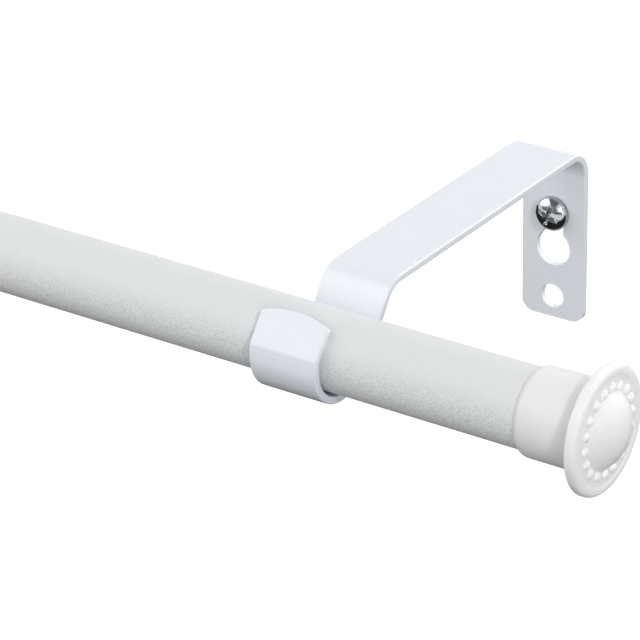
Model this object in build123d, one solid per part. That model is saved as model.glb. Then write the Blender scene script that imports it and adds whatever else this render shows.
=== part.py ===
from build123d import *
import os
from math import atan2, cos, radians, sin

# Extendable curtain rod: two telescoping tubes, an end cap on each, and two wall brackets.
# Millimetres. The origin is the right-hand bracket's screw, where its axis meets the wall.
# X runs along the rod to the right-hand cap, -Y stands out from the wall, and Z is up.

# Tubes
ROD_RADIUS = 8.0
TUBE_WALL = 0.5
INNER_ROD_RADIUS = 6.35
OUTER_TUBE_LENGTH = 600.0
INNER_TUBE_LENGTH = 690.0
SLIDE_CLEARANCE = 0.3
MOUTH_LENGTH = 3.0
MOUTH_ROLL = 1.0
MOUTH_CHAMFER = 0.2
ROD_OUT = 92.2
ROD_HEIGHT = 7.75

# Whole rod, cap face to cap face, at rest
ROD_LENGTH = 864.0

# Brackets
STRIP_WIDTH = 15.5
STRIP_THICKNESS = 1.6
STRIP_EDGE_RADIUS = 0.35
ARM_TOP = 16.65
PLATE_BOTTOM = -25.0
WALL_BEND_RADIUS = 5.7
LEG_BEND_RADIUS = 5.8
LEG_SLOPE = 55.0
SEAT_GAP = 0.05
FRONT_GAP = 0.9
FRONT_CORNER_RADIUS = 8.3
TIP_LEAN = 37.0
TIP_BEND_RADIUS = 2.5
TIP_RUN = 4.2
TIP_BOW = 1.5
PLATE_CORNER_RADIUS = 3.0
TIP_CORNER_RADIUS = 1.0
SLOT_RADIUS = 2.5
LOBE_RADIUS = 4.15
LOBE_DROP = 8.35
KEYHOLE_SHOULDER_RADIUS = 1.0
LOWER_HOLE_RADIUS = 2.75
LOWER_HOLE_DROP = 20.0

# End caps, with lengths measured from the cap's open rim
CAP_RIM = 50.0
COLLAR_RADIUS = 8.95
COLLAR_LENGTH = 13.4
RIM_ROUNDING = 1.8
RIM_FACE_RADIUS = 8.2
SOCKET_GAP = 0.03
SOCKET_DEPTH = 12.6
FLANGE_RADIUS = 12.8
FLANGE_THICKNESS = 2.3
FLANGE_BACK_FILLET = 0.5
FLANGE_FRONT_FILLET = 1.1
DISH_RADIUS = 10.5
DISH_DEPTH = 0.15
DISH_SLOPE = 0.5
BEAD_COUNT = 18
BEAD_RADIUS = 1.12
BEAD_CIRCLE = 8.6
BEAD_SINK = 0.4
BEAD_TURN = 3.0
BUTTON_RADIUS = 6.2
BUTTON_FOOT_RADIUS = 7.7
BUTTON_SIDE = 1.5
BUTTON_CROWN = 2.05
BUTTON_EDGE_FILLET = 0.6

# Reducing sleeve in the left-hand cap, and the plug on the inner tube's hidden end
SLEEVE_LENGTH = 12.0
PLUG_HEAD_RADIUS = 7.2
PLUG_HEAD_LENGTH = 3.0
PLUG_SHANK_LENGTH = 12.0
PLUG_RIB_HEIGHT = 0.12
PLUG_RIB_COUNT = 3
PLUG_RIB_WIDTH = 1.2
PLUG_RIB_SPACING = 3.6
PLUG_CHAMFER = 0.6

# Screws
NECK_RADIUS = 1.6
SHANK_RADIUS = 2.1
SHANK_LENGTH = 12.7
POINT_LENGTH = 4.0
HEAD_RADIUS = 3.85
HEAD_HEIGHT = 2.7
HEAD_EDGE = 0.75
RECESS_SPAN = 4.6
RECESS_WIDTH = 1.0
RECESS_DEPTH = 1.6
RECESS_TAPER = 8.0
RECESS_TURN = 20.0

# Worked out from the sizes above
cap_length = COLLAR_LENGTH + FLANGE_THICKNESS - DISH_DEPTH + BUTTON_SIDE + BUTTON_CROWN
right_face = CAP_RIM + cap_length
left_face = right_face - ROD_LENGTH
left_rim = left_face + cap_length
left_bracket_x = left_rim + CAP_RIM
outer_tube_end = CAP_RIM + SOCKET_DEPTH
outer_tube_mouth = outer_tube_end - OUTER_TUBE_LENGTH
inner_tube_end = left_rim - SOCKET_DEPTH
inner_tube_hidden_end = inner_tube_end + INNER_TUBE_LENGTH
bore_radius = ROD_RADIUS - TUBE_WALL
inner_bore_radius = INNER_ROD_RADIUS - TUBE_WALL
left_bracket_lift = ROD_RADIUS - INNER_ROD_RADIUS


def along_rod(profile_face):
    """Turns a half profile drawn in the XY plane, x along the rod and y the radius, about the rod's axis."""
    turned = revolve(profile_face, Axis.X)
    return Pos(0, -ROD_OUT, ROD_HEIGHT) * turned


def make_outer_tube():
    """The wider tube: a plain end inside the right-hand cap, and a mouth whose edge is rolled inwards."""
    lip_radius = INNER_ROD_RADIUS + SLIDE_CLEARANCE
    outline = Polyline(
        (outer_tube_end, bore_radius),
        (outer_tube_end, ROD_RADIUS),
        (outer_tube_mouth, ROD_RADIUS),
        (outer_tube_mouth, lip_radius),
        (outer_tube_mouth + TUBE_WALL, lip_radius),
        (outer_tube_mouth + MOUTH_LENGTH, bore_radius),
        close=True,
    )
    wall = make_face(outline)
    rolled_edge = wall.vertices().sort_by_distance((outer_tube_mouth, ROD_RADIUS, 0))[0]
    wall = fillet(rolled_edge, MOUTH_ROLL)
    lip = wall.vertices().sort_by_distance((outer_tube_mouth, lip_radius, 0))[0]
    return along_rod(chamfer(lip, MOUTH_CHAMFER))


def make_inner_tube():
    """The narrower tube, plain at both ends."""
    middle = (inner_tube_end + inner_tube_hidden_end) / 2
    wall = Pos(middle, (INNER_ROD_RADIUS + inner_bore_radius) / 2) * Rectangle(INNER_TUBE_LENGTH, TUBE_WALL)
    return along_rod(wall)


def make_glide_plug():
    """Moulded plug in the inner tube's hidden end; its head keeps the tube central in the wider one."""
    end = inner_tube_hidden_end
    head = Rectangle(PLUG_HEAD_LENGTH, PLUG_HEAD_RADIUS)
    head = Pos(end + PLUG_HEAD_LENGTH / 2, PLUG_HEAD_RADIUS / 2) * head
    head = chamfer(head.vertices().group_by(Axis.Y)[-1], PLUG_CHAMFER)
    shank_radius = inner_bore_radius - PLUG_RIB_HEIGHT
    shank = Pos(end - PLUG_SHANK_LENGTH / 2, shank_radius / 2) * Rectangle(PLUG_SHANK_LENGTH, shank_radius)
    rib = Rectangle(PLUG_RIB_WIDTH, inner_bore_radius)
    ribs = [
        Pos(end - PLUG_RIB_SPACING * (index + 1), inner_bore_radius / 2) * rib
        for index in range(PLUG_RIB_COUNT)
    ]
    return along_rod(head + shank + ribs)


def cap_profile():
    """Half profile of an end cap, with x from its open rim towards its face."""
    socket_radius = ROD_RADIUS + SOCKET_GAP
    flange_back = COLLAR_LENGTH
    face = flange_back + FLANGE_THICKNESS
    dish = face - DISH_DEPTH
    shoulder = dish + BUTTON_SIDE
    crown = shoulder + BUTTON_CROWN
    crown_sphere = (BUTTON_RADIUS**2 + BUTTON_CROWN**2) / (2 * BUTTON_CROWN)
    mid_angle = atan2(BUTTON_RADIUS, crown_sphere - BUTTON_CROWN) / 2
    crown_middle = (crown - crown_sphere * (1 - cos(mid_angle)), crown_sphere * sin(mid_angle))
    outline = (
        TangentArc((RIM_ROUNDING, COLLAR_RADIUS), (0, RIM_FACE_RADIUS), tangent=(-1, 0))
        + Line((0, RIM_FACE_RADIUS), (0, socket_radius))
        + Line((0, socket_radius), (SOCKET_DEPTH, socket_radius))
        + Line((SOCKET_DEPTH, socket_radius), (SOCKET_DEPTH, 0))
        + Line((SOCKET_DEPTH, 0), (crown, 0))
        + ThreePointArc((crown, 0), crown_middle, (shoulder, BUTTON_RADIUS))
        + Line((shoulder, BUTTON_RADIUS), (dish, BUTTON_FOOT_RADIUS))
        + Line((dish, BUTTON_FOOT_RADIUS), (dish, DISH_RADIUS))
        + Line((dish, DISH_RADIUS), (face, DISH_RADIUS + DISH_SLOPE))
        + Line((face, DISH_RADIUS + DISH_SLOPE), (face, FLANGE_RADIUS))
        + Line((face, FLANGE_RADIUS), (flange_back, FLANGE_RADIUS))
        + Line((flange_back, FLANGE_RADIUS), (flange_back, COLLAR_RADIUS))
        + Line((flange_back, COLLAR_RADIUS), (RIM_ROUNDING, COLLAR_RADIUS))
    )
    profile = make_face(outline)
    for point, radius in (
        ((face, FLANGE_RADIUS), FLANGE_FRONT_FILLET),
        ((flange_back, FLANGE_RADIUS), FLANGE_BACK_FILLET),
        ((shoulder, BUTTON_RADIUS), BUTTON_EDGE_FILLET),
    ):
        corner = profile.vertices().sort_by_distance((point[0], point[1], 0))[0]
        profile = fillet(corner, radius)
    return profile


def make_cap():
    """End cap about the X axis with its rim at x = 0: collar, flange, ring of beads and central button."""
    cap = revolve(cap_profile(), Axis.X)
    bead_x = COLLAR_LENGTH + FLANGE_THICKNESS - DISH_DEPTH - BEAD_SINK
    bead = Pos(bead_x, BEAD_CIRCLE, 0) * Rot(0, 90, 0) * Sphere(BEAD_RADIUS)
    beads = [Rot(BEAD_TURN + 360.0 * index / BEAD_COUNT, 0, 0) * bead for index in range(BEAD_COUNT)]
    return cap + beads


def make_left_cap_sleeve():
    """Ring round the narrower tube's end that makes it as thick as the left-hand cap's socket needs."""
    bore = INNER_ROD_RADIUS + SOCKET_GAP
    wall = Rectangle(SLEEVE_LENGTH, ROD_RADIUS - bore)
    return along_rod(Pos(left_rim - SLEEVE_LENGTH / 2, (ROD_RADIUS + bore) / 2) * wall)


def strip_path():
    """Middle line of the bracket's strip, from the foot of its plate round to the tip of its hook."""
    half = STRIP_THICKNESS / 2
    seat = ROD_RADIUS + SEAT_GAP + half
    front = -(ROD_RADIUS + FRONT_GAP + half)
    slope = radians(LEG_SLOPE)
    lean = radians(TIP_LEAN)
    arm = ARM_TOP - half - ROD_HEIGHT
    leg_top = (seat + arm * cos(slope)) / sin(slope)
    leg_foot = (seat - seat * cos(slope)) / sin(slope)
    crease = (seat + front * cos(lean)) / sin(lean)
    tip = (
        -seat * cos(lean) + TIP_RUN * sin(lean),
        seat * sin(lean) + TIP_RUN * cos(lean),
    )
    corners = [
        (ROD_OUT - half, PLATE_BOTTOM - ROD_HEIGHT),
        (ROD_OUT - half, arm),
        (leg_top, arm),
        (leg_foot, -seat),
        (front, -seat),
        (front, crease),
        tip,
    ]
    bends = [WALL_BEND_RADIUS, LEG_BEND_RADIUS, seat, FRONT_CORNER_RADIUS, TIP_BEND_RADIUS]
    points = [(0, y - ROD_OUT, z + ROD_HEIGHT) for y, z in corners]
    return FilletPolyline(*points, radius=bends)


def square_end():
    """Outline of the plate's foot, straight between two rounded corners; y = 0 is the strip's end."""
    return Pos(0, -2 * PLATE_CORNER_RADIUS) * RectangleRounded(
        STRIP_WIDTH, 4 * PLATE_CORNER_RADIUS, PLATE_CORNER_RADIUS
    )


def bowed_end():
    """Outline of the hook's tip, a shallow arc between two small corners; y = 0 is the strip's end."""
    bow_radius = (STRIP_WIDTH**2 / 4 + TIP_BOW**2) / (2 * TIP_BOW)
    outline = Pos(0, -bow_radius) * Circle(bow_radius) & Rectangle(STRIP_WIDTH, 2 * bow_radius)
    corners = outline.vertices().group_by(Axis.Y)[-1]
    return fillet(corners, TIP_CORNER_RADIUS)


def end_waste(outline, reach):
    """Waste outside the outline of a strip's end, as far back as the outline is shaped."""
    waste = Rectangle(2 * STRIP_WIDTH, 2 * reach) - outline
    return extrude(waste, 2 * STRIP_THICKNESS, both=True)


def keyhole():
    """Slot for the screw's shank, opening downwards into a lobe that its head can pass."""
    slot = Pos(0, -LOBE_DROP / 2) * Rectangle(2 * SLOT_RADIUS, LOBE_DROP) + Circle(SLOT_RADIUS)
    outline = slot + Pos(0, -LOBE_DROP) * Circle(LOBE_RADIUS)
    shoulder_drop = LOBE_DROP - (LOBE_RADIUS**2 - SLOT_RADIUS**2) ** 0.5
    shoulders = [
        outline.vertices().sort_by_distance((side * SLOT_RADIUS, -shoulder_drop, 0))[0] for side in (-1, 1)
    ]
    return fillet(shoulders, KEYHOLE_SHOULDER_RADIUS)


def make_bracket():
    """One folded steel strip: slotted wall plate, arm, sloping leg and open hook."""
    path = strip_path()
    section = Plane(path @ 0, x_dir=(1, 0, 0), z_dir=path % 0) * RectangleRounded(
        STRIP_WIDTH, STRIP_THICKNESS, STRIP_EDGE_RADIUS
    )
    strip = sweep(section, path=path)
    for place, direction, outline, reach in (
        (path @ 0, path % 0 * -1, square_end(), PLATE_CORNER_RADIUS),
        (path @ 1, path % 1, bowed_end(), TIP_BOW + TIP_CORNER_RADIUS),
    ):
        end = Plane(place, x_dir=(1, 0, 0), z_dir=Vector(1, 0, 0).cross(direction))
        strip -= end * end_waste(outline, reach)
    wall = Plane((0, 0, 0), x_dir=(1, 0, 0), z_dir=(0, -1, 0))
    holes = keyhole() + Pos(0, -LOWER_HOLE_DROP) * Circle(LOWER_HOLE_RADIUS)
    return strip - extrude(wall * holes, 2 * STRIP_THICKNESS, both=True)


def make_screw():
    """Pan-head wood screw: head with a cross recess, neck in the keyhole's slot, and shank in the wall."""
    top = HEAD_HEIGHT
    outline = (
        Line((0, top), (0, -SHANK_LENGTH))
        + Line((0, -SHANK_LENGTH), (SHANK_RADIUS, POINT_LENGTH - SHANK_LENGTH))
        + Line((SHANK_RADIUS, POINT_LENGTH - SHANK_LENGTH), (SHANK_RADIUS, -STRIP_THICKNESS))
        + Line((SHANK_RADIUS, -STRIP_THICKNESS), (NECK_RADIUS, -STRIP_THICKNESS))
        + Line((NECK_RADIUS, -STRIP_THICKNESS), (NECK_RADIUS, 0))
        + Line((NECK_RADIUS, 0), (HEAD_RADIUS, 0))
        + Line((HEAD_RADIUS, 0), (HEAD_RADIUS, HEAD_EDGE))
        + EllipticalCenterArc((0, HEAD_EDGE), HEAD_RADIUS, top - HEAD_EDGE, start_angle=0, arc_size=90)
    )
    screw = revolve(make_face(outline), Axis.Y)
    recess = Rectangle(RECESS_SPAN, RECESS_WIDTH) + Rectangle(RECESS_WIDTH, RECESS_SPAN)
    mouth = Plane((0, top, 0), x_dir=(1, 0, 0), z_dir=(0, -1, 0))
    screw -= mouth * (Rot(0, 0, RECESS_TURN) * extrude(recess, RECESS_DEPTH, taper=RECESS_TAPER))
    return Pos(0, -STRIP_THICKNESS, 0) * Rot(0, 0, 180) * screw


def make_parts():
    """Every piece in its place at rest, by node name."""
    cap = make_cap()
    bracket = make_bracket()
    screw = make_screw()
    right = Pos(CAP_RIM, -ROD_OUT, ROD_HEIGHT)
    left = Pos(left_rim, -ROD_OUT, ROD_HEIGHT) * Rot(0, 0, 180)
    beside_left_cap = Pos(left_bracket_x, 0, left_bracket_lift)
    return {
        "outer_tube": make_outer_tube(),
        "inner_tube": make_inner_tube(),
        "glide_plug": make_glide_plug(),
        "right_cap": right * cap,
        "left_cap": left * cap,
        "left_cap_sleeve": make_left_cap_sleeve(),
        "right_bracket": bracket,
        "left_bracket": beside_left_cap * bracket,
        "right_screw": screw,
        "left_screw": beside_left_cap * screw,
    }


os.makedirs("parts", exist_ok=True)
for name, piece in make_parts().items():
    piece.label = name
    export_step(piece, f"parts/{name}.step")
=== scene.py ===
"""Finishes and studio of an extendable curtain rod, laid out as an add-on and run as a script.

Every length in the mesh code is in metres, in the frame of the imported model: X runs along the rod towards its
right-hand cap, -Y stands out from the wall, and Z is up.
"""

from math import cos, hypot, pi, radians, sin

import bmesh
import bpy
from bpy.props import FloatProperty, FloatVectorProperty, IntProperty, PointerProperty
from bpy.types import Operator, Panel, PropertyGroup
from mathutils import Matrix, Vector


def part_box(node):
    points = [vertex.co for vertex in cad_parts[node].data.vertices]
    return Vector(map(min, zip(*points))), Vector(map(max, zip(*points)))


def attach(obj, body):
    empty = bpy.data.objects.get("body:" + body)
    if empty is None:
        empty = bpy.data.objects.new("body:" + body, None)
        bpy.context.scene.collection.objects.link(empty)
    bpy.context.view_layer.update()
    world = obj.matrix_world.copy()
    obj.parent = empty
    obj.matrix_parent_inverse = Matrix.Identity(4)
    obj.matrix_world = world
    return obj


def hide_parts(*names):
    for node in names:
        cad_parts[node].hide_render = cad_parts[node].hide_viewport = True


bl_info = {
    "name": "Extendable Curtain Rod",
    "version": (1, 0, 0),
    "blender": (4, 5, 0),
    "location": "3D View > Sidebar > Curtain Rod",
    "description": "Finishes the rod's paint, enamel, plastic and plated screws, and sets up the studio",
    "category": "Object",
}

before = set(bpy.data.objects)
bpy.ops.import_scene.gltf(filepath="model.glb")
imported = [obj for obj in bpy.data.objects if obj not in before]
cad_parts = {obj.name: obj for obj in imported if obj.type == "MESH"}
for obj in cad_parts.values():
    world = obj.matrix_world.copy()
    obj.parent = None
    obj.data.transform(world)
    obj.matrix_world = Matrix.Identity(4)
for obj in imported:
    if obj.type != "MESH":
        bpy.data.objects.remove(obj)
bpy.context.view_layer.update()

MM = 0.001
SLACK = 0.02 * MM
SAME_PLACE = 0.001 * MM
SHARP_ANGLE = radians(32)
SIDES = {"right": "outer_rod", "left": "inner_rod"}
TUBES = ("outer_tube", "inner_tube")
GUIDES = ("glide_plug", "left_cap_sleeve")
CAMERA_TARGET = (0.001829, -0.092237, 0.013396)
CAMERA_UP = (-0.23949848, 0.38250915, 0.89237169)
SENSOR_WIDTH = 36.0
FLOOR_HALF_WIDTH = 30.0
CARD_HALF_LENGTH = 3.0
CARD_SHADE = 0.03
# Each dark card runs along the rod between two edges, given as (Y, Z) from the point the camera looks at
CARDS = {
    "card_below": ((-0.32, -0.3), (1.0, -0.3)),
    "card_in_front": ((-2.2, -0.3), (-2.2, 0.5)),
}
# Each lamp: the direction it shines from, and how many degrees of the sky it fills
LAMPS = {
    "key": ((0.692, -0.439, 0.573), 1.2),
    "left": ((-0.75, -0.45, 0.5), 55.0),
    "right": ((0.62, -0.72, 0.12), 40.0),
    "side": ((0.8, 0.6, 0.05), 60.0),
    "back": ((0.1, 0.85, 0.55), 55.0),
}


def middle(node):
    """Middle of a node's box."""
    low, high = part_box(node)
    return (low + high) / 2


class NodeTree:
    """A material's node tree, with short calls for the nodes that the finishes share."""

    def __init__(self, name):
        self.material = bpy.data.materials.new(name)
        self.material.use_nodes = True
        self.nodes = self.material.node_tree.nodes
        self.links = self.material.node_tree.links
        self.nodes.clear()
        self.output = self.nodes.new("ShaderNodeOutputMaterial")

    def shader(self, **values):
        """The finish's own shader, with uniform values on its sockets."""
        shader = self.nodes.new("ShaderNodeBsdfPrincipled")
        for socket, value in values.items():
            shader.inputs[socket.replace("_", " ")].default_value = value
        self.links.new(shader.outputs["BSDF"], self.output.inputs["Surface"])
        return shader

    def place(self):
        """Position on the piece in metres, which moves with the piece."""
        return self.nodes.new("ShaderNodeTexCoord").outputs["Object"]

    def noise(self, place, grain_mm, detail=2.0):
        """Cloudy pattern, with features of about that size."""
        noise = self.nodes.new("ShaderNodeTexNoise")
        noise.inputs["Scale"].default_value = 1 / (grain_mm * MM)
        noise.inputs["Detail"].default_value = detail
        self.links.new(place, noise.inputs["Vector"])
        return noise.outputs["Fac"]

    def spread(self, value, low, high):
        """Takes a value between 0 and 1 to one between low and high."""
        spread = self.nodes.new("ShaderNodeMapRange")
        spread.inputs["To Min"].default_value = low
        spread.inputs["To Max"].default_value = high
        self.links.new(value, spread.inputs["Value"])
        return spread.outputs["Result"]

    def maths(self, operation, first, second=None):
        """One step of arithmetic; each side is a socket or a number."""
        step = self.nodes.new("ShaderNodeMath")
        step.operation = operation
        for socket, value in zip(step.inputs, (first, second)):
            if isinstance(value, (int, float)):
                socket.default_value = value
            elif value is not None:
                self.links.new(value, socket)
        return step.outputs["Value"]

    def tint(self, factor, dark, light):
        """Blends two colours by a factor."""
        mix = self.nodes.new("ShaderNodeMix")
        mix.data_type = "RGBA"
        mix.inputs["A"].default_value = (*dark, 1)
        mix.inputs["B"].default_value = (*light, 1)
        self.links.new(factor, mix.inputs["Factor"])
        return mix.outputs["Result"]

    def drift(self, factor, colour, swing):
        """A colour that drifts by a share of itself, from darker at factor 0 to lighter at factor 1."""
        return self.tint(factor, shaded(colour, 1 - swing), shaded(colour, 1 + swing))

    def bump(self, height, depth_mm, under=None):
        """Relief of that depth, laid over another one if given."""
        bump = self.nodes.new("ShaderNodeBump")
        bump.inputs["Distance"].default_value = depth_mm * MM
        self.links.new(height, bump.inputs["Height"])
        if under is not None:
            self.links.new(under, bump.inputs["Normal"])
        return bump.outputs["Normal"]


def shaded(colour, share):
    """A colour times a share, darker under 1 and lighter over it."""
    return tuple(channel * share for channel in colour)


def powder_coat(finish):
    """Off-white powder coat with a fine sandy grain, over a tube that was welded along its wall side; the
    grain's colour speckle grows much stronger on the tube's sides and underside, as painted shade for the
    shadows that grazing light casts in the grain.
    """
    tree = NodeTree("powder_coat")
    place = tree.place()
    shader = tree.shader(Roughness=0.5, IOR=1.5)
    colour = tuple(finish.colour)
    grain = tree.noise(place, finish.grain_mm, detail=1.0)
    clouds = tree.noise(place, finish.cloud_mm)
    # painted shade: the grain's colour speckle is weak on the upper side and strong on the sides and
    # underneath, standing in for the shadows of grazing light in the grain
    grain_and_shade_contrast = tree.spread(painted_grain_shade_mask(tree), low=finish.speckle_above, high=finish.painted_shade_speckle_below)
    mean_grain = 0.5
    grain_and_painted_shade = tree.maths("MULTIPLY", tree.maths("SUBTRACT", grain, mean_grain), grain_and_shade_contrast)
    shade = tree.maths("ADD", grain_and_painted_shade, tree.spread(clouds, low=0.47, high=0.53))
    tree.links.new(tree.drift(shade, colour, swing=0.14), shader.inputs["Base Color"])
    tree.links.new(tree.spread(clouds, low=0.44, high=0.58), shader.inputs["Roughness"])
    relief = tree.bump(grain, finish.grain_depth_mm)
    relief = tree.bump(weld_seam(tree, place), finish.seam_height_mm, under=relief)
    tree.links.new(relief, shader.inputs["Normal"])
    return tree.material


def painted_grain_shade_mask(tree):
    """Mask of the painted grain shade: 0 on the tube's lit upper side, and 1 on its sides and underneath, where
    the speckle paints the shadows that grazing light casts in every grain.
    """
    parts = tree.nodes.new("ShaderNodeSeparateXYZ")
    tree.links.new(tree.nodes.new("ShaderNodeTexCoord").outputs["Normal"], parts.inputs["Vector"])
    rise_where_fading_starts = 0.55
    fading_span = 0.6
    below = tree.maths("SUBTRACT", rise_where_fading_starts, parts.outputs["Z"])
    return tree.maths("DIVIDE", below, fading_span)


def weld_seam(tree, place):
    """Height of the narrow seam on the side of the tube that faces the wall."""
    axis = middle("outer_tube")
    parts = tree.nodes.new("ShaderNodeSeparateXYZ")
    tree.links.new(place, parts.inputs["Vector"])
    above = tree.maths("SUBTRACT", parts.outputs["Z"], axis.z)
    behind = tree.maths("GREATER_THAN", parts.outputs["Y"], axis.y)
    seam_half_width = 0.35 * MM
    across = tree.maths("DIVIDE", tree.maths("ABSOLUTE", above), seam_half_width)
    hump = tree.maths("MAXIMUM", tree.maths("SUBTRACT", 1.0, across), 0.0)
    return tree.maths("MULTIPLY", hump, behind)


def gloss_enamel(finish):
    """Smooth cool white enamel, sprayed on, with a faint orange peel."""
    tree = NodeTree("gloss_enamel")
    place = tree.place()
    shader = tree.shader(Roughness=0.22, IOR=1.5, Coat_Weight=0.1, Coat_Roughness=0.08)
    colour = tuple(finish.colour)
    clouds = tree.noise(place, finish.cloud_mm)
    tree.links.new(tree.drift(clouds, colour, swing=0.015), shader.inputs["Base Color"])
    tree.links.new(tree.spread(clouds, low=0.18, high=0.28), shader.inputs["Roughness"])
    peel = tree.noise(place, finish.peel_mm, detail=1.0)
    tree.links.new(tree.bump(peel, finish.peel_depth_mm), shader.inputs["Normal"])
    return tree.material


def moulded_plastic(name, colour, finish):
    """Satin white moulding, with the faint drift that the melt leaves in its skin."""
    tree = NodeTree(name)
    place = tree.place()
    shader = tree.shader(
        Roughness=0.45,
        IOR=1.45,
        Subsurface_Weight=0.95,
        Subsurface_Radius=(1.0, 1.0, 1.0),
        Subsurface_Scale=finish.glow_mm * MM,
    )
    flow = tree.noise(place, finish.flow_mm)
    skin = tree.noise(place, finish.skin_mm)
    tree.links.new(tree.drift(flow, colour, swing=0.015), shader.inputs["Base Color"])
    tree.links.new(tree.spread(flow, low=0.4, high=0.5), shader.inputs["Roughness"])
    tree.links.new(tree.bump(skin, finish.skin_depth_mm), shader.inputs["Normal"])
    return tree.material


def bright_plating(screws):
    """Bright plated steel with the soft waviness of a barrel-plated part."""
    tree = NodeTree("bright_plating")
    place = tree.place()
    shader = tree.shader(Metallic=1.0)
    wave = tree.noise(place, screws.wave_mm, detail=1.5)
    haze = tree.noise(place, screws.haze_mm, detail=3.0)
    colour = tuple(screws.colour)
    tree.links.new(tree.tint(haze, shaded(colour, 0.9), colour), shader.inputs["Base Color"])
    tree.links.new(tree.spread(haze, low=0.08, high=0.2), shader.inputs["Roughness"])
    tree.links.new(tree.bump(wave, screws.wave_depth_mm), shader.inputs["Normal"])
    return tree.material


def finish_node(node, material):
    """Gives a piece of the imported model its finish."""
    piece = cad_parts[node]
    if not piece.material_slots:
        piece.data.materials.append(material)
    for material_slot in piece.material_slots:
        material_slot.material = material


class TubeFinish(PropertyGroup):
    """Paint of the two tubes."""

    colour: FloatVectorProperty(
        name="Colour", description="Colour of the powder coat", subtype="COLOR", default=(0.772, 0.786, 0.795)
    )
    grain_mm: FloatProperty(name="Grain", description="Size of the sandy grain, in millimetres", default=0.26)
    grain_depth_mm: FloatProperty(name="Grain depth", description="Height of the sandy grain", default=0.08)
    speckle_above: FloatProperty(
        name="Speckle above", description="Contrast of the grain on the tube's upper side", default=0.12
    )
    # painted shade: on the sides and underneath the grain's speckle is made strong to paint the shadows that
    # grazing light casts in the grain
    painted_shade_speckle_below: FloatProperty(
        name="Speckle below", description="Contrast of the grain on the sides and underneath", default=4.0
    )
    cloud_mm: FloatProperty(
        name="Clouds", description="Size of the uneven patches, in millimetres", default=14.0
    )
    seam_height_mm: FloatProperty(
        name="Seam", description="Height of the weld seam, in millimetres", default=0.12
    )


class BracketFinish(PropertyGroup):
    """Enamel of the brackets."""

    colour: FloatVectorProperty(
        name="Colour", description="Colour of the enamel", subtype="COLOR", default=(0.834, 0.866, 0.916)
    )
    cloud_mm: FloatProperty(
        name="Clouds", description="Size of the uneven patches, in millimetres", default=9.0
    )
    peel_mm: FloatProperty(
        name="Orange peel", description="Size of the orange peel, in millimetres", default=1.1
    )
    peel_depth_mm: FloatProperty(name="Peel depth", description="Height of the orange peel", default=0.006)


class CapFinish(PropertyGroup):
    """Plastic of the end caps, and of the plug and sleeve inside."""

    colour: FloatVectorProperty(
        name="Cap colour", description="Colour of the end caps", subtype="COLOR", default=(0.92, 0.92, 0.93)
    )
    guide_colour: FloatVectorProperty(
        name="Guide colour",
        description="Colour of the plug and sleeve",
        subtype="COLOR",
        default=(0.76, 0.76, 0.73),
    )
    flow_mm: FloatProperty(
        name="Flow", description="Size of the drift in the plastic, in millimetres", default=5.0
    )
    skin_mm: FloatProperty(name="Skin", description="Size of the skin's grain, in millimetres", default=0.35)
    skin_depth_mm: FloatProperty(name="Skin depth", description="Height of the skin's grain", default=0.004)
    glow_mm: FloatProperty(
        name="Glow", description="How far light creeps under the skin, in millimetres", default=1.2
    )


class ScrewShape(PropertyGroup):
    """Thread and plating of the screws."""

    pitch: FloatProperty(name="Pitch", description="Distance between turns", unit="LENGTH", default=1.8 * MM)
    thread_depth: FloatProperty(
        name="Depth", description="Height of the thread", unit="LENGTH", default=0.5 * MM
    )
    run_in: FloatProperty(
        name="Run-in", description="Length over which the thread rises", unit="LENGTH", default=3.0 * MM
    )
    turn_steps: IntProperty(name="Steps", description="Straight steps in one turn of the thread", default=36)
    colour: FloatVectorProperty(
        name="Plating", description="Colour of the plating", subtype="COLOR", default=(0.50, 0.51, 0.52)
    )
    wave_mm: FloatProperty(
        name="Waves", description="Size of the plating's waves, in millimetres", default=1.6
    )
    wave_depth_mm: FloatProperty(name="Wave depth", description="Height of the plating's waves", default=0.03)
    haze_mm: FloatProperty(name="Haze", description="Size of the duller patches, in millimetres", default=0.7)


class StudioLight(PropertyGroup):
    """Camera, lights and floor."""

    camera_place: FloatVectorProperty(
        name="Camera",
        description="Where the camera stands",
        unit="LENGTH",
        default=(0.30938, -0.52684, 0.28223),
    )
    lens: FloatProperty(
        name="Lens", description="Focal length on a 36 mm sensor, in millimetres", default=174.75
    )
    floor_drop: FloatProperty(
        name="Floor", description="How far the floor lies below the rod", unit="LENGTH", default=0.4
    )
    dome: FloatProperty(name="Dome", description="Strength of the even light from all round", default=0.285)
    key: FloatProperty(
        name="Key", description="Strength of the small lamp that draws the shadows", default=0.78
    )
    left: FloatProperty(name="Left", description="Strength of the wide lamp on the left", default=1.2)
    right: FloatProperty(
        name="Right", description="Strength of the wide lamp in front on the right", default=1.25
    )
    side: FloatProperty(
        name="Side", description="Strength of the wide lamp beyond the rod's right end", default=0.95
    )
    back: FloatProperty(name="Back", description="Strength of the wide lamp behind", default=1.36)
    bounce: FloatProperty(
        name="Bounce", description="Share of the light that the floor sends back", default=0.22
    )


class CURTAIN_ROD_OT_tubes(Operator):
    """Powder coats the two tubes."""

    bl_idname = "curtain_rod.tubes"
    bl_label = "Finish Tubes"

    def execute(self, context):
        paint = powder_coat(context.scene.rod_tubes)
        for node in TUBES:
            finish_node(node, paint)
        return {"FINISHED"}


class CURTAIN_ROD_OT_caps(Operator):
    """Gives the end caps their satin plastic."""

    bl_idname = "curtain_rod.caps"
    bl_label = "Finish End Caps"

    def execute(self, context):
        finish = context.scene.rod_caps
        plastic = moulded_plastic("cap_plastic", tuple(finish.colour), finish)
        for side in SIDES:
            finish_node(f"{side}_cap", plastic)
        return {"FINISHED"}


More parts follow.
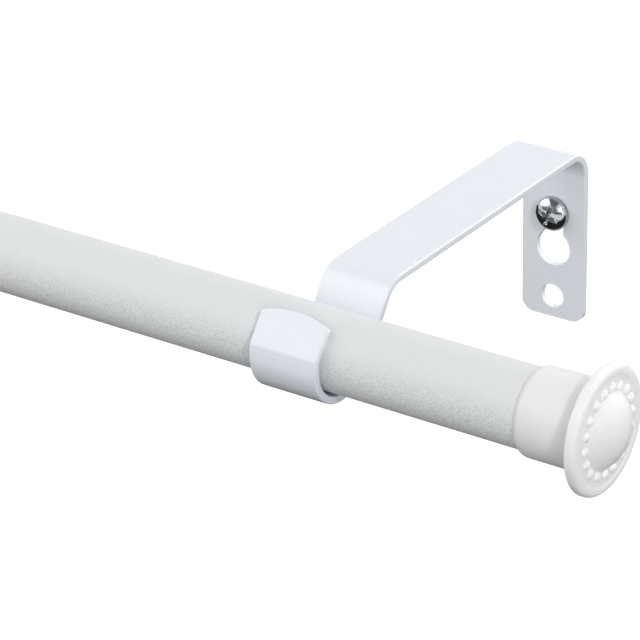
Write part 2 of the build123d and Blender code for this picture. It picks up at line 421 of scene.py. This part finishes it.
class CURTAIN_ROD_OT_guides(Operator):
    """Gives the plug and the sleeve inside the rod their plain plastic."""

    bl_idname = "curtain_rod.guides"
    bl_label = "Finish Plug and Sleeve"

    def execute(self, context):
        finish = context.scene.rod_caps
        plastic = moulded_plastic("guide_plastic", tuple(finish.guide_colour), finish)
        for node in GUIDES:
            finish_node(node, plastic)
        return {"FINISHED"}


class CURTAIN_ROD_OT_brackets(Operator):
    """Enamels the two folded brackets."""

    bl_idname = "curtain_rod.brackets"
    bl_label = "Finish Brackets"

    def execute(self, context):
        enamel = gloss_enamel(context.scene.rod_brackets)
        for side in SIDES:
            finish_node(f"{side}_bracket", enamel)
        return {"FINISHED"}


class Shank:
    """Sizes of a screw behind the wall face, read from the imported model."""

    def __init__(self, node, wall_y):
        places = [vertex.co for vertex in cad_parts[node].data.vertices]
        self.foot = Vector((middle(node).x, wall_y, middle(node).z))
        self.length = max(place.y for place in places) - wall_y
        at_wall = [self.away(place) for place in places if abs(place.y - wall_y) < SLACK]
        self.neck_radius = min(at_wall)
        self.radius = max(at_wall)
        full_width = [place.y - wall_y for place in places if self.is_shank(place)]
        self.point_length = self.length - max(full_width)

    def away(self, place):
        """Distance of a place from the screw's axis."""
        return hypot(place.x - self.foot.x, place.z - self.foot.z)

    def is_shank(self, place):
        """Whether a place lies on the shank's full width."""
        return place.y > self.foot.y - SLACK and abs(self.away(place) - self.radius) < SLACK


def head_of_screw(node, shank):
    """Mesh of a screw's head and neck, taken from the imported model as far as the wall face."""
    mesh = bmesh.new()
    mesh.from_mesh(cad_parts[node].data)
    bmesh.ops.remove_doubles(mesh, verts=mesh.verts, dist=SAME_PLACE)
    behind_wall = []
    for vertex in mesh.verts:
        beyond = vertex.co.y - shank.foot.y
        if beyond > SLACK or (beyond > -SLACK and shank.away(vertex.co) > shank.neck_radius + SLACK):
            behind_wall.append(vertex)
    bmesh.ops.delete(mesh, geom=behind_wall, context="VERTS")
    return mesh


def thread_radius(screws, shank, along, height):
    """Radius at a place on the thread, where height is 0 at its root and 1 at its crest."""
    taper = min(1.0, (shank.length - along) / shank.point_length)
    rise = min(1.0, along / screws.run_in)
    return taper * (shank.radius - screws.thread_depth + screws.thread_depth * rise * height)


def add_thread(mesh, screws, shank):
    """Adds the threaded shank: rows of points that climb with the thread, so that its crest stays sharp."""
    flank = 0.55
    profile = (0.0, 0.0, 0.0, 0.0, flank, 1.0, 1.0, flank)
    rows = int(shank.length / screws.pitch * len(profile)) + len(profile) + 1
    grid = []
    for row in range(-len(profile), rows):
        ring = []
        for step in range(screws.turn_steps + 1):
            turns = row / len(profile) + step / screws.turn_steps
            along = min(max(turns * screws.pitch, 0.0), shank.length)
            radius = thread_radius(screws, shank, along, profile[row % len(profile)])
            angle = 2 * pi * step / screws.turn_steps
            place = shank.foot + Vector((radius * cos(angle), along, radius * sin(angle)))
            ring.append(mesh.verts.new(place))
        grid.append(ring)
    for lower, upper in zip(grid, grid[1:]):
        for step in range(screws.turn_steps):
            mesh.faces.new((lower[step], lower[step + 1], upper[step + 1], upper[step]))
    added = [vertex for ring in grid for vertex in ring]
    bmesh.ops.remove_doubles(mesh, verts=added, dist=SAME_PLACE)


class CURTAIN_ROD_OT_screws(Operator):
    """Plates the screws and cuts the thread on their shanks."""

    bl_idname = "curtain_rod.screws"
    bl_label = "Thread and Plate Screws"

    def execute(self, context):
        screws = context.scene.rod_screws
        plating = bright_plating(screws)
        for side, body in SIDES.items():
            node = f"{side}_screw"
            shank = Shank(node, wall_y=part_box(f"{side}_bracket")[1].y)
            mesh = head_of_screw(node, shank)
            add_thread(mesh, screws, shank)
            name = f"{side}_threaded_screw"
            piece = bpy.data.objects.new(name, bpy.data.meshes.new(name))
            mesh.to_mesh(piece.data)
            mesh.free()
            context.scene.collection.objects.link(piece)
            piece.data.materials.append(plating)
            for polygon in piece.data.polygons:
                polygon.use_smooth = True
            piece.data.set_sharp_from_angle(angle=SHARP_ANGLE)
            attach(piece, body)
            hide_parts(node)
        return {"FINISHED"}


def aim(thing, place, target, roll_up=Vector((0, 0, 1))):
    """Puts a lamp or camera in place, looking at the target with that direction up in its picture."""
    away = (place - target).normalized()
    right = roll_up.cross(away).normalized()
    up = away.cross(right)
    turn = Matrix((right, up, away)).transposed()
    thing.matrix_world = Matrix.Translation(place) @ turn.to_4x4()


def sun_lamp(name, strength, spread, offset, target):
    """A far lamp, shining from that offset over that many degrees of the sky."""
    lamp = bpy.data.objects.new(name, bpy.data.lights.new(name, "SUN"))
    lamp.data.energy = strength
    lamp.data.angle = radians(spread)
    bpy.context.scene.collection.objects.link(lamp)
    aim(lamp, target + offset, target)


def seen_directly(nodes, links):
    """1 for rays from the camera, a reflection or through glass, and 0 for light that falls on things."""
    path = nodes.new("ShaderNodeLightPath")
    total = path.outputs["Is Camera Ray"]
    for kind in ("Is Glossy Ray", "Is Transmission Ray"):
        add = nodes.new("ShaderNodeMath")
        add.operation = "ADD"
        add.use_clamp = True
        links.new(total, add.inputs[0])
        links.new(path.outputs[kind], add.inputs[1])
        total = add.outputs["Value"]
    return total


def white_dome(strength):
    """World that looks white and lights the rod with the given strength."""
    world = bpy.data.worlds.new("studio")
    world.use_nodes = True
    nodes, links = world.node_tree.nodes, world.node_tree.links
    background = nodes["Background"]
    background.inputs["Color"].default_value = (1, 1, 1, 1)
    level = nodes.new("ShaderNodeMapRange")
    level.inputs["To Min"].default_value = strength
    level.inputs["To Max"].default_value = 1.0
    links.new(seen_directly(nodes, links), level.inputs["Value"])
    links.new(level.outputs["Result"], background.inputs["Strength"])
    bpy.context.scene.world = world


def pale_floor(drop, bounce):
    """Floor that looks white where it is lit, keeps the rod's shadow and sends a little light back."""
    half = FLOOR_HALF_WIDTH
    mesh = bpy.data.meshes.new("floor")
    corners = [(-half, -half, 0), (half, -half, 0), (half, half, 0), (-half, half, 0)]
    mesh.from_pydata(corners, [], [(0, 1, 2, 3)])
    floor = bpy.data.objects.new("floor", mesh)
    bpy.context.scene.collection.objects.link(floor)
    floor.location.z = middle("outer_tube").z - drop
    tree = NodeTree("pale_floor")
    paper = tree.nodes.new("ShaderNodeBsdfDiffuse")
    paper.inputs["Color"].default_value = (bounce, bounce, bounce, 1)
    glow = tree.nodes.new("ShaderNodeEmission")
    glow_when_seen = tree.spread(seen_directly(tree.nodes, tree.links), 0.0, 1.0)
    tree.links.new(glow_when_seen, glow.inputs["Strength"])
    both = tree.nodes.new("ShaderNodeAddShader")
    tree.links.new(paper.outputs["BSDF"], both.inputs[0])
    tree.links.new(glow.outputs["Emission"], both.inputs[1])
    tree.links.new(both.outputs["Shader"], tree.output.inputs["Surface"])
    mesh.materials.append(tree.material)


def dark_card(name, target, near, far):
    """Dark card that only reflections show, as a studio sets beside bright metal; it throws no shadow."""
    half = CARD_HALF_LENGTH
    mesh = bpy.data.meshes.new(name)
    corners = [(-half, *near), (half, *near), (half, *far), (-half, *far)]
    mesh.from_pydata([target + Vector(corner) for corner in corners], [], [(0, 1, 2, 3)])
    card = bpy.data.objects.new(name, mesh)
    bpy.context.scene.collection.objects.link(card)
    tree = NodeTree(name)
    black = tree.nodes.new("ShaderNodeBsdfDiffuse")
    black.inputs["Color"].default_value = (CARD_SHADE, CARD_SHADE, CARD_SHADE, 1)
    tree.links.new(black.outputs["BSDF"], tree.output.inputs["Surface"])
    mesh.materials.append(tree.material)
    card.visible_camera = False
    card.visible_diffuse = False
    card.visible_transmission = False
    card.visible_volume_scatter = False
    card.visible_shadow = False


class CURTAIN_ROD_OT_studio(Operator):
    """Sets up the camera, the lamps, the white surroundings and the floor."""

    bl_idname = "curtain_rod.studio"
    bl_label = "Set Up Studio"

    def execute(self, context):
        studio = context.scene.rod_studio
        camera = bpy.data.objects.new("camera", bpy.data.cameras.new("camera"))
        context.scene.collection.objects.link(camera)
        camera.data.sensor_width = SENSOR_WIDTH
        camera.data.lens = studio.lens
        camera.data.clip_start = 0.01
        camera.data.clip_end = 100.0
        target = Vector(CAMERA_TARGET)
        aim(camera, Vector(studio.camera_place), target, Vector(CAMERA_UP))
        context.scene.camera = camera
        for name, (offset, spread) in LAMPS.items():
            sun_lamp(f"{name}_lamp", getattr(studio, name), spread, Vector(offset), target)
        for name, (near, far) in CARDS.items():
            dark_card(name, target, near, far)
        white_dome(studio.dome)
        pale_floor(studio.floor_drop, studio.bounce)
        context.scene.view_settings.view_transform = "Standard"
        return {"FINISHED"}


class CURTAIN_ROD_PT_panel(Panel):
    """Sizes, colours and steps of the curtain rod."""

    bl_label = "Curtain Rod"
    bl_idname = "CURTAIN_ROD_PT_panel"
    bl_space_type = "VIEW_3D"
    bl_region_type = "UI"
    bl_category = "Curtain Rod"

    def draw(self, context):
        layout = self.layout
        for title, settings, operator in STEPS:
            box = layout.box()
            box.label(text=title)
            group = getattr(context.scene, settings)
            for name in group.__annotations__:
                box.prop(group, name)
            box.operator(operator)


SETTINGS = {
    "rod_tubes": TubeFinish,
    "rod_caps": CapFinish,
    "rod_brackets": BracketFinish,
    "rod_screws": ScrewShape,
    "rod_studio": StudioLight,
}
STEPS = (
    ("Tubes", "rod_tubes", "curtain_rod.tubes"),
    ("End caps", "rod_caps", "curtain_rod.caps"),
    ("Plug and sleeve", "rod_caps", "curtain_rod.guides"),
    ("Brackets", "rod_brackets", "curtain_rod.brackets"),
    ("Screws", "rod_screws", "curtain_rod.screws"),
    ("Studio", "rod_studio", "curtain_rod.studio"),
)
CLASSES = (
    *SETTINGS.values(),
    CURTAIN_ROD_OT_tubes,
    CURTAIN_ROD_OT_caps,
    CURTAIN_ROD_OT_guides,
    CURTAIN_ROD_OT_brackets,
    CURTAIN_ROD_OT_screws,
    CURTAIN_ROD_OT_studio,
    CURTAIN_ROD_PT_panel,
)


def register():
    """Registers the settings, the steps and the panel."""
    for cls in CLASSES:
        bpy.utils.register_class(cls)
    for name, group in SETTINGS.items():
        setattr(bpy.types.Scene, name, PointerProperty(type=group))


def unregister():
    """Takes them out again."""
    for name in SETTINGS:
        delattr(bpy.types.Scene, name)
    for cls in reversed(CLASSES):
        bpy.utils.unregister_class(cls)


def main():
    """Runs every step."""
    register()
    for _, _, operator in STEPS:
        group, name = operator.split(".")
        getattr(getattr(bpy.ops, group), name)()


if __name__ == "__main__":
    main()
